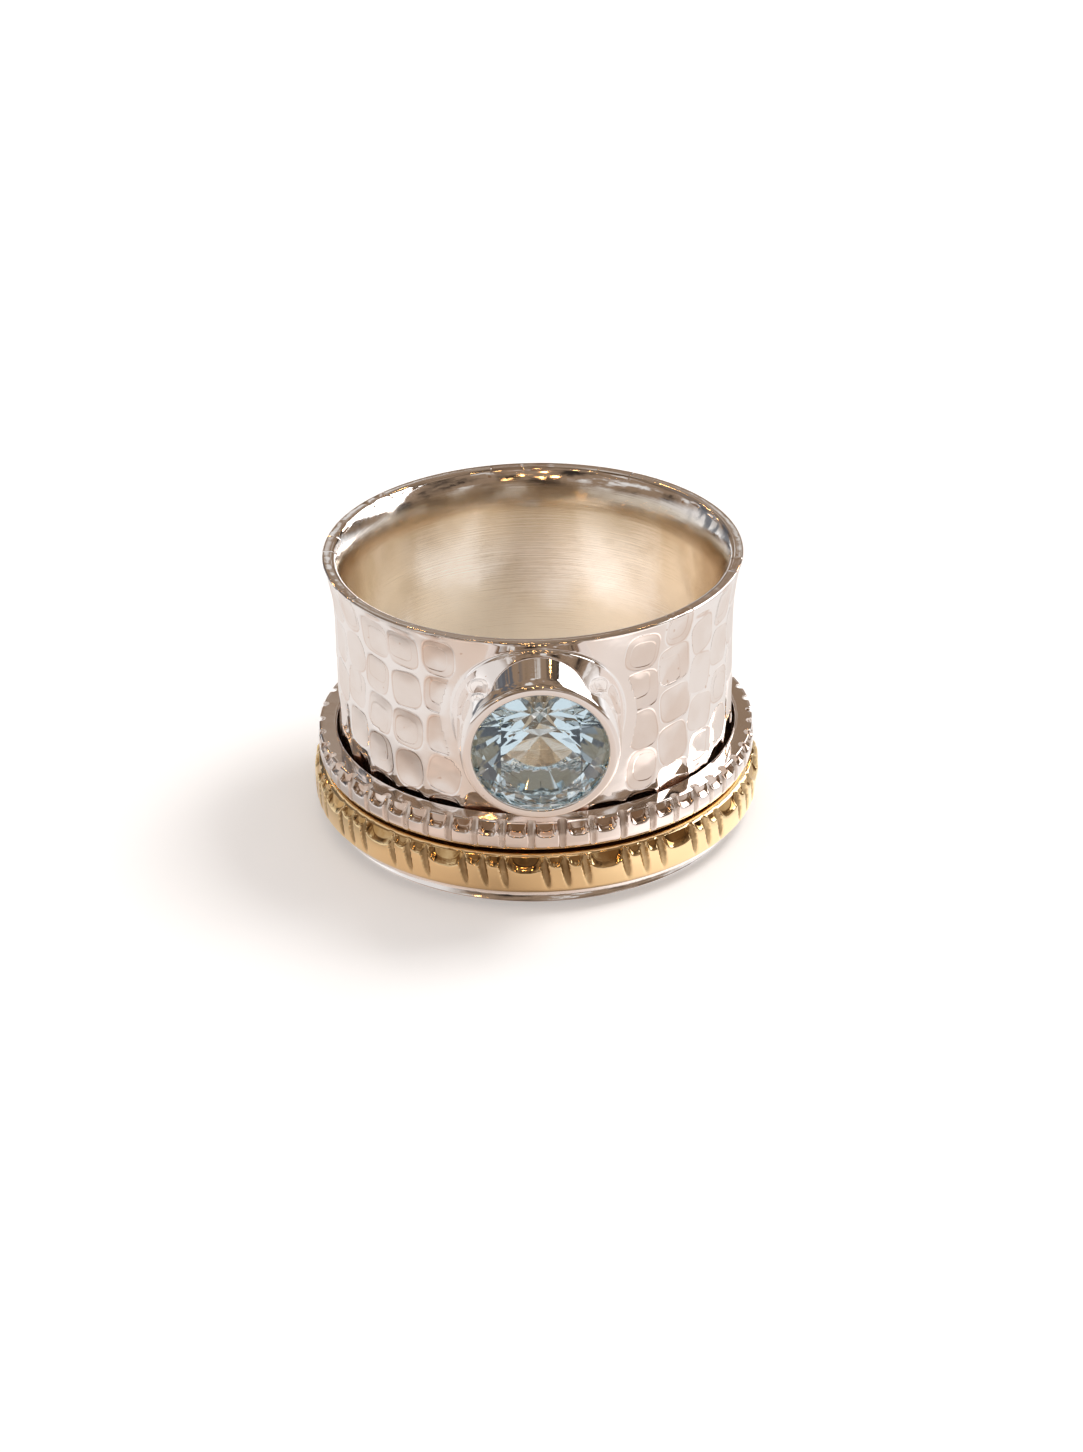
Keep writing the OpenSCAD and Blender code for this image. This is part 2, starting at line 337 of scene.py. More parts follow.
# section of the band as a loop: up the outside, over the rim, down the hole and back under
def bandSection():
    edge = band["edgeRound"]
    rim = float(outerRadius(halfWidth)) - edge
    lip = band["mouthRound"]
    # the rounding ends where it leans as much as the hole's side
    lean = math.asin((band["mouthLength"] - lip) / (mouthArc - lip))
    mouth = band["bore"] + mouthArc - (mouthArc - lip) * math.cos(lean)
    below = lip * (1 - math.sin(lean)) + 0.05  # the first row past the rounding
    topRows, middleRows, bottomRows = band["holeRows"]
    rows = outsideRows()
    outside = np.stack([outerRadius(rows), rows], -1)
    overTop = arcPoints((rim, halfWidth - edge), edge, 0, 90, band["edgeRows"])
    intoMouth = arcPoints((mouth, halfWidth - lip), lip, 90, 180 - math.degrees(lean), band["mouthRows"])
    holeRows = np.concatenate([
        np.linspace(halfWidth - below, mouthStart, topRows),
        np.linspace(mouthStart, -mouthStart, middleRows)[1:-1],
        np.linspace(-mouthStart, -halfWidth + below, bottomRows),
    ])
    hole = np.stack([innerRadius(holeRows), holeRows], -1)
    outOfMouth = intoMouth[::-1] * [1, -1]
    underBottom = overTop[::-1] * [1, -1]
    section = np.concatenate([outside, overTop[1:], intoMouth, hole, outOfMouth, underBottom[:-1]])
    return section, len(rows)


def makeBandShell():
    section, outsideCount = bandSection()
    angles = np.arange(band["columns"]) * 360 / band["columns"]
    angle, radius = np.meshgrid(angles, section[:, 0], indexing="ij")
    height = np.broadcast_to(section[:, 1], angle.shape)
    radius = radius.copy()
    outside = np.s_[:, :outsideCount]
    radius[outside] -= hammerDepth(angle[outside], height[outside])
    points = roundFinger(angle, radius, height).reshape(-1, 3)
    return makePiece("band_shell", points, gridFaces(band["columns"], len(section)), band["sharpAngle"])


# directions of the bezel: out of the band, to its right and up
bezelOut = np.array([0, -math.cos(math.radians(bezel["tilt"])), -math.sin(math.radians(bezel["tilt"]))])
bezelRight = np.array([1.0, 0.0, 0.0])
bezelUp = np.cross(bezelRight, bezelOut) * -1
bezelFront = np.array([0, -bezel["reach"], bezel["height"]])


# a point at an angle and radius round the bezel's axis, at a depth behind its front
def roundBezel(angle, radius, depth):
    turn = np.radians(angle)[..., None]
    radius = np.asarray(radius)[..., None]
    depth = np.asarray(depth)[..., None]
    return bezelFront - bezelOut * depth + radius * (bezelRight * np.cos(turn) + bezelUp * np.sin(turn))


# depth behind the bezel's front at which a line beside its axis meets a round surface of the band
def depthToBand(angle, radius, surface):
    depth = np.full(np.shape(angle), bezel["reach"] - wallRadius)
    for _ in range(12):
        point = roundBezel(angle, radius, depth)
        place = np.degrees(np.arctan2(point[..., 0], -point[..., 1]))
        excess = np.hypot(point[..., 0], point[..., 1]) - surface(place, point[..., 2])
        depth = depth + excess * 0.9
    return depth


def hammeredSurface(angle, height):
    return outerRadius(height) - hammerDepth(angle, height)


def middleSurface(angle, height):
    return np.full(np.shape(angle), bezel["middle"])


# loop of points round the bezel's axis, where radius or depth may be one number
def bezelLoop(radius, depth):
    turn = np.arange(bezel["columns"]) * 360 / bezel["columns"]
    return roundBezel(turn, np.broadcast_to(radius, turn.shape), np.broadcast_to(depth, turn.shape))


# the bezel's solid, whose foot runs into the band's skin in a fillet
def makeBezelSolid():
    turn = np.arange(bezel["columns"]) * 360 / bezel["columns"]
    rounding = bezel["frontRound"]
    footLength = bezel["reach"] - wallRadius + bezel["footBelow"]
    loops = [bezelLoop(radius, bezel["dipDepth"]) for radius in (1.0, 2.0, bezel["opening"])]
    loops.append(bezelLoop(bezel["opening"] + bezel["frontDip"], 0.0))
    front = arcPoints((bezel["radius"] - rounding, -rounding), rounding, 90, 5, 8)
    loops += [bezelLoop(radius, -height) for radius, height in front]

    # side of the cone, down to where the fillet begins
    fillet = bezel["footFillet"]
    footRadius = np.full(turn.shape, bezel["radius"] + 0.25)  # a first guess
    for _ in range(4):
        footDepth = depthToBand(turn, footRadius, hammeredSurface)
        footRadius = bezel["radius"] + bezel["taper"] * np.clip(footDepth - fillet, 0.3, None) / footLength
    top = footDepth - fillet
    for share in np.linspace(0, 1, bezel["coneRows"])[1:-1]:
        depth = rounding + (top - rounding) * share
        loops.append(bezelLoop(bezel["radius"] + bezel["taper"] * depth / footLength, depth))

    # the fillet, measured from the skin at each radius
    for share in np.linspace(0, 1, bezel["filletRows"]):
        quarter = share * math.pi / 2
        radius = footRadius + fillet * (1 - math.cos(quarter))
        depth = depthToBand(turn, radius, hammeredSurface)
        loops.append(bezelLoop(radius, depth - fillet * (1 - math.sin(quarter)) + bezel["sink"] * share))

    # underside, in the middle of the wall
    for share in (0.97, 0.7, 0.4, 0.15):
        radius = (footRadius + fillet) * share
        loops.append(bezelLoop(radius, depthToBand(turn, radius, middleSurface)))
    return makeTube("bezel_solid", loops, band["sharpAngle"])


stone = {
    "diameter": 6.44,
    "crownAngle": 36.0,
    "pavilionAngle": 40.5,
    "table": 0.6,  # share of the diameter
    "girdle": 0.16,
    "drop": 0.32,  # girdle's top behind the bezel's front
    "gap": 0.06,
    "stars": 0.763,  # where the facets round the table end, as a share of the radius
    "halves": 0.24,  # and the narrow ones of the pavilion
    "turn": 22.5,
    "lipAngle": 45.0,
    "seatClear": 2,  # degrees by which the seat is steeper than the pavilion
}
stoneRadius = stone["diameter"] / 2
crownSlope = math.tan(math.radians(stone["crownAngle"]))
pavilionSlope = math.tan(math.radians(stone["pavilionAngle"]))
seatSlope = math.tan(math.radians(stone["pavilionAngle"] + stone["seatClear"]))


# what is cut out of the bezel for the stone, turned round the bezel's axis
def makeSeatCutter():
    seat = stoneRadius + stone["gap"]
    lip = stone["drop"] - stone["gap"]
    lipSlope = math.tan(math.radians(stone["lipAngle"]))
    shoulder = stone["drop"] + stone["girdle"]
    lipRound = bezel["lipRound"]
    opening = bezel["opening"]
    profile = [(opening + lipRound + 0.05, -0.6)]  # clear of the front
    profile += [(r, -h) for r, h in arcPoints((opening + lipRound, -lipRound), lipRound, 95, 180, 6)]
    profile += [
        (opening, lip - (seat - opening) * lipSlope + 0.004),
        (seat, lip),
        (seat, shoulder),
        (bezel["culetHole"], shoulder + (seat - bezel["culetHole"]) * seatSlope),
        (bezel["culetHole"], bezel["reach"] - band["bore"] + 1.0),  # into the finger hole
    ]
    return makeTube("seat_cutter", [bezelLoop(r, h) for r, h in profile], band["sharpAngle"])


def cutOrJoin(piece, tool, operation):
    change = piece.modifiers.new(operation, "BOOLEAN")
    change.operation = operation
    change.solver = "MANIFOLD"
    change.object = tool
    graph = bpy.context.evaluated_depsgraph_get()
    result = bpy.data.meshes.new_from_object(piece.evaluated_get(graph))
    piece.modifiers.clear()
    piece.data = result
    bpy.data.objects.remove(tool)


bandFinish = {
    "satinEnds": (1.0, 0.35),  # the satin fades out between these distances from the rim
    "belt": (2.3, 0.5, 1.3),  # height, sway and half width of a paler belt round the hole
    "paleSides": (0.6, 0.9),  # painted light: the sides of the hole are paler, from this sine of the angle to that
    "bezelShine": (4.0, 4.4),  # distances from the bezel's axis between which its shine ends
    "gapShadeStart": (-5.95, -5.8),  # heights between which the painted shade behind the loose rings starts
    "gapShadeEnd": (-3.1, -2.6),
    "skin": 0.03,  # what lies nearer than this belongs to a surface
    "rim": 0.3,  # no satin this near to it
}


# silver finishes, read from where each point lies
def paintBand(piece):
    place = meshPoints(piece)
    radius = np.hypot(place[:, 0], place[:, 1])
    angle = np.degrees(np.arctan2(place[:, 0], -place[:, 1]))
    height = place[:, 2]
    inHole = radius < innerRadius(height) + bandFinish["skin"]
    inHole = inHole & (np.abs(height) < halfWidth - bandFinish["rim"])
    satinEnds = [halfWidth - away for away in bandFinish["satinEnds"]]
    paintPoints(piece, "satin", inHole * (1 - smoothStep(np.abs(height), *satinEnds)))
    # a paler belt round the hole, and paler sides of the hole as painted light
    beltHeight, sway, halfBelt = bandFinish["belt"]
    belt = np.exp(-((height - beltHeight - sway * np.sin(np.radians(2 * angle))) / halfBelt) ** 2)
    sides = smoothStep(np.abs(np.sin(np.radians(angle))), *bandFinish["paleSides"])
    paintPoints(piece, "paleBeltAndSides", np.maximum(belt, sides))
    fromFront = (place - bezelFront) @ -bezelOut
    fromAxis = np.linalg.norm(place - bezelFront + np.outer(fromFront, bezelOut), axis=1)
    shineStart, shineEnd = bandFinish["bezelShine"]
    onBezel = (place[:, 1] < 0) & (fromAxis < shineEnd)
    onBezel = onBezel & (radius > outerRadius(height) + bandFinish["skin"])
    paintPoints(piece, "polish", onBezel * (1 - smoothStep(fromAxis, shineStart, shineEnd)))
    onSkin = ~onBezel & (radius > wallRadius - 0.3)
    # painted shade, with a duller finish, on the skin behind the loose rings, where the gaps lie
    covered = smoothStep(height, *bandFinish["gapShadeStart"])
    covered = covered * (1 - smoothStep(height, *bandFinish["gapShadeEnd"]))
    paintPoints(piece, "gapShade", onSkin * covered)
    hammered = onSkin & (clearOfBezel(angle, height) > 0.5)
    first = borderDistance(angle, height, False)
    second = borderDistance(angle, height, True)
    paintPoints(piece, "border", np.where(hammered, first, hammer["outside"]))
    paintPoints(piece, "strike", np.where(hammered & (first > 0), second, hammer["outside"]))


def makeBand():
    piece = makeBandShell()
    cutOrJoin(piece, makeBezelSolid(), "UNION")
    cutOrJoin(piece, makeSeatCutter(), "DIFFERENCE")
    piece.name = piece.data.name = "hammered_band"
    tidyMesh(piece.data, 32)  # again, for the edges that the cuts made
    paintBand(piece)
    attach(piece, "band_body")
    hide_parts("band")
    print("band:", len(piece.data.polygons), "faces")
    return piece


# the stone

# corners of the facets at one height
def facetRing(count, radius, height, start=0.0):
    turn = np.radians(start + np.arange(count) * 360 / count)
    return [(radius * math.cos(t), radius * math.sin(t), height) for t in turn]


# round brilliant with its girdle's top at 0 and its table towards +Z
def brilliantCut():
    n = 8
    half = 180 / n
    pavilion = stoneRadius * pavilionSlope
    near = math.cos(math.radians(half))
    starHeight = (1 - stone["stars"] * near) * stoneRadius * crownSlope
    halfHeight = -stone["girdle"] - (1 - stone["halves"] * near) * pavilion
    points = facetRing(n, stoneRadius * stone["table"], stoneRadius * (1 - stone["table"]) * crownSlope)
    points += facetRing(n, stoneRadius * stone["stars"], starHeight, half)
    points += facetRing(2 * n, stoneRadius, 0)
    points += facetRing(2 * n, stoneRadius, -stone["girdle"])
    points += facetRing(n, stoneRadius * stone["halves"], halfHeight, half)
    points += [(0, 0, -stone["girdle"] - pavilion)]
    star, girdle, lower, halves, culet = n, 2 * n, 4 * n, 6 * n, 7 * n
    faces = [list(range(n))]
    for i in range(n):
        after = (i + 1) % n
        before = (i - 1) % n
        ahead = (2 * i + 2) % (2 * n)
        faces += [
            [i, star + i, after],
            [i, star + before, girdle + 2 * i, star + i],  # main facet of the crown
            [star + i, girdle + 2 * i, girdle + 2 * i + 1],
            [star + i, girdle + 2 * i + 1, girdle + ahead],
            [lower + 2 * i, halves + i, lower + 2 * i + 1],
            [lower + 2 * i + 1, halves + i, lower + ahead],
            [lower + 2 * i, halves + before, culet, halves + i],  # main facet of the pavilion
        ]
    for i in range(2 * n):
        after = (i + 1) % (2 * n)
        faces.append([girdle + i, lower + i, lower + after, girdle + after])
    return np.array(points), faces


def makeStone():
    points, faces = brilliantCut()
    turn = math.radians(stone["turn"])
    across = points[:, 0] * math.cos(turn) - points[:, 1] * math.sin(turn)
    along = points[:, 0] * math.sin(turn) + points[:, 1] * math.cos(turn)
    place = bezelFront + np.outer(across, bezelRight) + np.outer(along, bezelUp)
    place = place + np.outer(points[:, 2] - stone["drop"], bezelOut)
    piece = makePiece("topaz_stone", place, faces)
    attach(piece, "band_body")
    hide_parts("topaz")
    print("stone:", len(faces), "facets")
    return piece


# the loose rings

looseRings = {
    "boreRound": 0.09,
    "row": 0.038,  # height of a mesh row on the upper outside
    "lowRow": 0.075,
    "topRows": 9,  # of the mesh, across the flat top
    "scoopSide": 0.45,  # how far in from its border a scoop's side goes
    "topLip": 0.06,  # height left above the scoops
    "scoopSoft": 0.034,  # rounding of the edges of scoops
    "cutSoft": 0.034,  # and of the narrow cuts
    "cutShows": (0.02, 0.07),  # depths between which a cut turns dull
    "hollowShows": (0.03, 0.14),
    "gapShadeInside": (0.02, 0.08),  # distances from the bore between which the painted shade ends
    "gapShadeTop": (0.7, 0.3),  # and from the top
    "gapShadeUnder": 0.07,
    "sharpAngle": 60,
}

notchedRing = {
    "bore": 9.70,
    "radius": 10.62,
    "base": 3.0,  # above the lower rim
    "width": 1.62,
    "dome": 0.0,
    "shoulder": 0.16,
    "lowRound": 0.5,
    "notches": 51,
    "notchRadius": 0.17,
    "notchOut": 0.04,
    "notchLean": 0.182,  # how much deeper a notch is at the top
    "notchWiden": 0.3,  # and wider, as a share of that
    "notchLeanFrom": 0.9,  # below the top
    # half width, height, depth at the foot and at the top, and squareness of a scoop
    "scoop": (0.52, 0.76, 0.16, 0.46, 3.2),
    "turn": -61.0,
    # how far each scoop was cut from its even place, in degrees
    "drift": [0, 0.4, 0.4, 0.4, -0.6, -1.7, -1.7, -2.1, -1.5, -1.4, -0.1, -0.1, 2.1, 2.5, 2.7, 2.4, 0.9],
    "columns": 1530,  # of the mesh
}

goldRing = {
    "bore": 9.9,
    "radius": 10.9,
    "base": 0.86,
    "width": 2.04,
    "dome": 0.08,
    "shoulder": 0.5,
    "lowRound": 0.5,
    "groups": 18,
    "turn": 6.0,
    "sway": 1.4,
    "cuts": 3,
    "cutStep": 5.1,
    "cutRadius": 0.2,
    "cutOut": 0.05,
    "cutSlant": 10.0,
    "cutLean": 8.0,
    "smallScoop": (0.40, 0.52, 0.08, 0.40, 2.4),
    "wideScoop": (0.95, 0.80, 0.08, 0.52, 2.4),
    "columns": 1296,
}


# section of a loose ring as a loop from its base up, and which of its points lie on the flat top
def looseSection(values):
    small, row, lowRow = looseRings["boreRound"], looseRings["row"], looseRings["lowRow"]
    bore, radius, width = values["bore"], values["radius"], values["width"]
    top, lowRound = values["shoulder"], values["lowRound"]
    topRows, count = looseRings["topRows"], int(top * math.pi / 2 / row) + 2
    rows = int((width - top - lowRound) / row) + 1
    inside = np.stack([np.full(3, bore), np.linspace(small, width - small, 3)], -1)
    boreTop = arcPoints((bore + small, width - small), small, 180, 90, 4)
    flat = np.stack([np.linspace(bore + small, radius - top, topRows), np.full(topRows, width)], -1)
    outerTop = arcPoints((radius - top, width - top), top, 90, 0, count)
    outside = np.stack([np.full(rows, radius), np.linspace(width - top, lowRound, rows)], -1)
    lowCount = int(lowRound * math.pi / 2 / lowRow)
    outerLow = arcPoints((radius - lowRound, lowRound), lowRound, 0, -90, lowCount)
    under = np.array([[(radius - lowRound + bore + small) / 2, 0.0]])
    boreLow = arcPoints((bore + small, small), small, 270, 180, 4)
    parts = [inside, boreTop[1:], flat[1:], outerTop[1:], outside[1:], outerLow[1:], under, boreLow[:-1]]
    section = np.concatenate(parts)
    if values["dome"]:
        arc = arcRadius(width / 2, values["dome"])
        skin = radius - arc + np.sqrt(arc ** 2 - (section[:, 1] - width / 2) ** 2)
        section[:, 0] = np.minimum(section[:, 0], skin)
    first = len(inside) + len(boreTop) - 2
    return section, np.arange(first, first + len(flat))


# the smaller of two radii, with a soft corner where they cross
def softLower(first, second, soft):
    gap = np.clip((second - first) / soft, -40, 40)
    return first - soft * np.log1p(np.exp(-gap))


# radius of the near side of an upright rod, or far out where it isn't
def rodCut(centre, size, aside):
    inside = size ** 2 - aside ** 2
    return np.where(inside > 0, centre - np.sqrt(np.clip(inside, 0, None)), farOut)


# radius of a steep-sided hollow under the ring's top edge, whose floor goes deeper upwards; outside the
# hollow it lies far enough out to cut nothing
def scoopCut(values, scoop, aside, height):
    wide, tall, low, high, squareness = scoop
    width, lip = values["width"], looseRings["topLip"]
    below = (width - height) / tall
    out = np.abs(aside / wide) ** squareness + np.abs(below) ** squareness
    inside = 1 - np.clip(out, 0, 16) ** (2 / squareness)
    floor = low + (high - low) * np.clip(1 - below, 0, 1)
    edge = np.sign(inside) * np.sqrt(np.abs(inside) / looseRings["scoopSide"])
    closed = 1 - smoothStep(height, width - lip * 2, width - lip)
    return values["radius"] - floor * np.minimum(edge, 1) * closed


def makeLooseRing(name, values, cutAt):
    section, flat = looseSection(values)
    angles = np.arange(values["columns"]) * 360 / values["columns"]
    angle, radius = np.meshgrid(angles, section[:, 0], indexing="ij")
    height = np.broadcast_to(section[:, 1], angle.shape).copy()
    before = radius.copy()
    outer = radius > values["bore"] + looseRings["boreRound"] + 0.02
    scoops, narrow = cutAt(angle, height)
    scooped = np.where(outer, softLower(radius, scoops, looseRings["scoopSoft"]), radius)
    radius = np.where(outer, softLower(scooped, narrow, looseRings["cutSoft"]), radius)
    cut = scooped - radius
    hollow = before - scooped
    # the flat top shrinks evenly up to where the cuts begin
    start = before[:, flat[:1]]
    share = (before[:, flat] - start) / (before[:, flat[-1:]] - start)
    radius[:, flat] = start + (radius[:, flat[-1:]] - start) * share
    points = roundFinger(angle, radius, height - halfWidth + values["base"]).reshape(-1, 3)
    faces = gridFaces(values["columns"], len(section))
    piece = makePiece(name, points, faces, looseRings["sharpAngle"])
    cut[:, flat] = 0
    hollow[:, flat] = 0
    top = np.zeros(angle.shape)
    top[:, flat] = 1
    paintPoints(piece, "cut", smoothStep(cut, *looseRings["cutShows"]))
    # how deep each point lies in a scooped hollow, for the painted shade there
    paintPoints(piece, "hollow", smoothStep(hollow, *looseRings["hollowShows"]))
    paintPoints(piece, "top", top)
    # painted shade, with a duller finish, on the bore below its top and on the underside, where the ring sits
    # against the band
    insideEnds = [values["bore"] + away for away in looseRings["gapShadeInside"]]
    topEnds = [values["width"] - away for away in looseRings["gapShadeTop"]]
    within = (1 - smoothStep(before, *insideEnds)) * (1 - smoothStep(height, *topEnds))
    beneath = 1 - smoothStep(height, 0.0, looseRings["gapShadeUnder"])
    paintPoints(piece, "gapShade", np.maximum(within, beneath))
    return piece


# distance of each point along the ring's outside from an angle
def alongRing(values, angle, centre):
    return np.radians(turnPast(angle, centre)) * values["radius"]


def scoopAngle(i):
    drift = notchedRing["drift"]
    return 360 / notchedRing["notches"] * i + notchedRing["turn"] + drift[i % len(drift)]


def groupAngle(i):
    even = 360 / goldRing["groups"] * i + goldRing["turn"]
    return even + goldRing["sway"] * math.sin(math.radians(even))


def notchedCuts(angle, height):
    values = notchedRing
    scoops = np.full(angle.shape, farOut)
    narrow = scoops.copy()
    leanStart = values["width"] - values["notchLeanFrom"]
    lean = values["notchLean"] * smoothStep(height, leanStart, values["width"])
    size = values["notchRadius"] + lean * values["notchWiden"]
    centre = values["radius"] + values["notchOut"] - lean
    for i in range(values["notches"]):
        aside = alongRing(values, angle, scoopAngle(i))
        scoops = np.minimum(scoops, scoopCut(values, values["scoop"], aside, height))
        aside = alongRing(values, angle, (scoopAngle(i) + scoopAngle(i + 1)) / 2)
        narrow = np.minimum(narrow, rodCut(centre, size, aside))
    return scoops, narrow


def goldCuts(angle, height):
    values = goldRing
    scoops = np.full(angle.shape, farOut)
    narrow = scoops.copy()
    span = (values["cuts"] - 1) * values["cutStep"]
    slant, lean = (math.tan(math.radians(values[key])) for key in ("cutSlant", "cutLean"))
    above = height - values["width"] / 2
    centre = values["radius"] + values["cutOut"] - lean * above
    for i in range(values["groups"]):
        for k in range(values["cuts"]):
            aside = alongRing(values, angle, groupAngle(i) + k * values["cutStep"] - span / 2)
            narrow = np.minimum(narrow, rodCut(centre, values["cutRadius"], aside + slant * above))
        for k in range(values["cuts"] - 1):
            aside = alongRing(values, angle, groupAngle(i) + (k + 0.5) * values["cutStep"] - span / 2)
            scoops = np.minimum(scoops, scoopCut(values, values["smallScoop"], aside, height))
        aside = alongRing(values, angle, (groupAngle(i) + groupAngle(i + 1)) / 2)
        scoops = np.minimum(scoops, scoopCut(values, values["wideScoop"], aside, height))
    return scoops, narrow


def makeNotchedRing():
    piece = makeLooseRing("notched_silver_ring", notchedRing, notchedCuts)
    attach(piece, "notched_body")
    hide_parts("notched_ring")
    print("notched ring:", len(piece.data.polygons), "faces")
    return piece


def makeGoldRing():
    piece = makeLooseRing("cut_gold_ring", goldRing, goldCuts)
    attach(piece, "gold_body")
    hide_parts("gold_ring")
    print("gold ring:", len(piece.data.polygons), "faces")
    return piece


# materials

# a material's nodes, with short ways to add and join them
class NodeBoard:
    def __init__(self, material):
        material.use_nodes = True
        self.tree = material.node_tree
        self.tree.nodes.clear()

    def join(self, socket, value):
        if isinstance(value, bpy.types.NodeSocket):
            self.tree.links.new(value, socket)
        else:
            socket.default_value = value

    def add(self, kind, inputs=None, **settings):
        node = self.tree.nodes.new(kind)
        for key, value in settings.items():
            setattr(node, key, value)
        for key, value in (inputs or {}).items():
            self.join(node.inputs[key], value)
        return node

    def noise(self, vector, scale, detail, roughness=0.55):
        inputs = {"Vector": vector, "Scale": scale, "Detail": detail, "Roughness": roughness}
        return self.add("ShaderNodeTexNoise", inputs).outputs["Fac"]

    # goes softly from low at start to high at end
    def spread(self, value, low, high, start=0.0, end=1.0):
        inputs = {0: value, 1: start, 2: end, 3: low, 4: high}
        return self.add("ShaderNodeMapRange", inputs, interpolation_type="SMOOTHSTEP").outputs[0]

    def attribute(self, name):
        return self.add("ShaderNodeAttribute", attribute_name=name).outputs["Fac"]

    # from the first colour to the second
    def blend(self, share, first, second):
        return self.add("ShaderNodeMix", {0: share, 6: first, 7: second}, data_type="RGBA").outputs[2]

    # from the first number to the second
    def shift(self, share, first, second):
        return self.add("ShaderNodeMix", {0: share, 2: first, 3: second}).outputs[0]

    def sums(self, operation, first, second):
        return self.add("ShaderNodeMath", {0: first, 1: second}, operation=operation).outputs[0]

    def times(self, first, *others):
        for other in others:
            first = self.sums("MULTIPLY", first, other)
        return first

    def stretched(self, vector, amounts):
        return self.add("ShaderNodeVectorMath", {0: vector, 1: amounts}, operation="MULTIPLY").outputs[0]

    def bump(self, height, depth, strength=1.0, normal=None):
        inputs = {"Height": height, "Distance": depth, "Strength": strength}
        if normal is not None:
            inputs["Normal"] = normal
        return self.add("ShaderNodeBump", inputs).outputs[0]

    def finish(self, shader, volume=None, kind="ShaderNodeOutputMaterial"):
        out = self.add(kind, {"Surface": shader})
        if volume is not None:
            self.join(out.inputs["Volume"], volume)


silverLook = {
    "colour": (0.985, 0.955, 0.940, 1),
    "shade": (0.880, 0.805, 0.755, 1),  # painted shade in the marks, rosier than the ridges
    "line": (0.72, 0.55, 0.45, 1),  # painted shade along the marks' borders, and pits
    "lineInside": 0.05,  # how far inside the border it lies
    "lineWide": 0.06,
    "lineShows": 0.65,
    "strikeWide": 0.04,  # the same for second strikes
    "strikeShows": 0.35,
    "satinColour": (0.940, 0.895, 0.825, 1),
    "satinDark": (0.740, 0.645, 0.510, 1),
    "gapShade": (0.52, 0.38, 0.27, 1),  # painted shade behind the loose rings, in the gaps
    "roughLow": 0.05,
    "roughHigh": 0.12,
    "polishRough": 0.03,
    "satinRough": 0.17,
    "gapShadeRough": 0.3,
    "brushing": 0.7,
    # scale and detail of each pattern
    "cloud": (420, 4),
    "grain": (5200, 3),
    "pits": (3600, 0),
    "satinPaleness": (160, 3),
    "uneven": (900, 2),
    "wavy": (190, 2),
    "wavyStretch": (1, 1, 0.45),
    "brushed": (1.0, 3),
    "brushedStretch": (260, 260, 15000),  # fine along the finger, long round the hole
    "unevenShows": 0.9,
    "grainShows": 0.5,
    # heights of the relief in metres
    "unevenStep": 0.000016,
    "borderStep": 0.000018,
    "strikeStep": 0.000012,
    "grainStep": 0.0000012,
    "wavyStep": 0.00016,
    "brushedStep": 0.000007,
}


